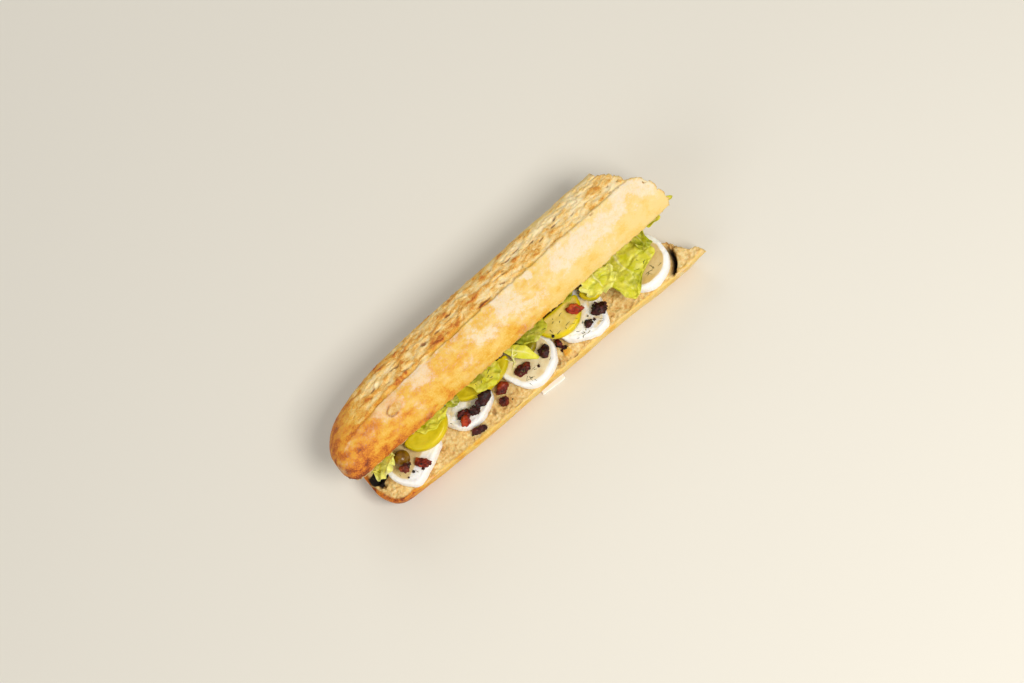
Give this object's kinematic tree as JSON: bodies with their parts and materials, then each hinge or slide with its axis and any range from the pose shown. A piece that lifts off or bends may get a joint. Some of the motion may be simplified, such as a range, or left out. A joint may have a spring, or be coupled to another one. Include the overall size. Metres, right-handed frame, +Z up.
{
  "type": "sandwich",
  "caption": "Half-baguette sandwich: a flat-based bottom half, a slashed and floured lid set back on it, and cheese, avocado, lettuce and dried tomato between them.",
  "frame": {"origin": "bottom centre of the bounding box, on the surface that the sandwich stands on", "axes": "+X along the loaf from its rounded heel to its torn end, -Y out of the open side, +Z up"},
  "size_m": [0.3002, 0.0952, 0.0699],
  "materials": {
    "crust": "baked golden-orange bread crust and beige crumb, matte",
    "lid_crust": "golden bread crust dusted with flour, a pale slash along it, matte",
    "goat_cheese": "soft white goat's cheese, beige inside, satin",
    "avocado": "smooth yellow-green flesh with a greener rim, moist",
    "olive": "olive-brown skin, glossy",
    "dried_tomato": "dark red-brown dried tomato in oil, glossy",
    "lettuce": "yellow-green ruffled lettuce, waxy",
    "rind": "white cheese rind, matte"
  },
  "bodies": {
    "root": {"bread_bottom": "crust", "bread_lid": "lid_crust", "cheese_1": "goat_cheese", "cheese_2": "goat_cheese", "cheese_3": "goat_cheese", "cheese_4": "goat_cheese", "cheese_5": "goat_cheese", "avocado_1": "avocado", "avocado_2": "avocado", "avocado_3": "avocado", "avocado_4": "avocado", "avocado_5": "avocado", "olive": "olive", "tomato_1": "dried_tomato", "tomato_2": "dried_tomato", "tomato_3": "dried_tomato", "tomato_4": "dried_tomato", "tomato_5": "dried_tomato", "tomato_6": "dried_tomato", "tomato_7": "dried_tomato", "tomato_8": "dried_tomato", "tomato_9": "dried_tomato", "tomato_10": "dried_tomato", "tomato_11": "dried_tomato", "tomato_12": "dried_tomato", "tomato_13": "dried_tomato", "tomato_14": "dried_tomato", "tomato_15": "dried_tomato", "lettuce_1": "lettuce", "lettuce_2": "lettuce", "lettuce_3": "lettuce", "lettuce_4": "lettuce", "lettuce_5": "lettuce", "lettuce_6": "lettuce", "lettuce_7": "lettuce", "lettuce_8": "lettuce", "lettuce_9": "lettuce", "lettuce_10": "lettuce", "lettuce_11": "lettuce", "lettuce_12": "lettuce", "lettuce_13": "lettuce", "cheese_sliver": "rind"}
  },
  "joints": []
}
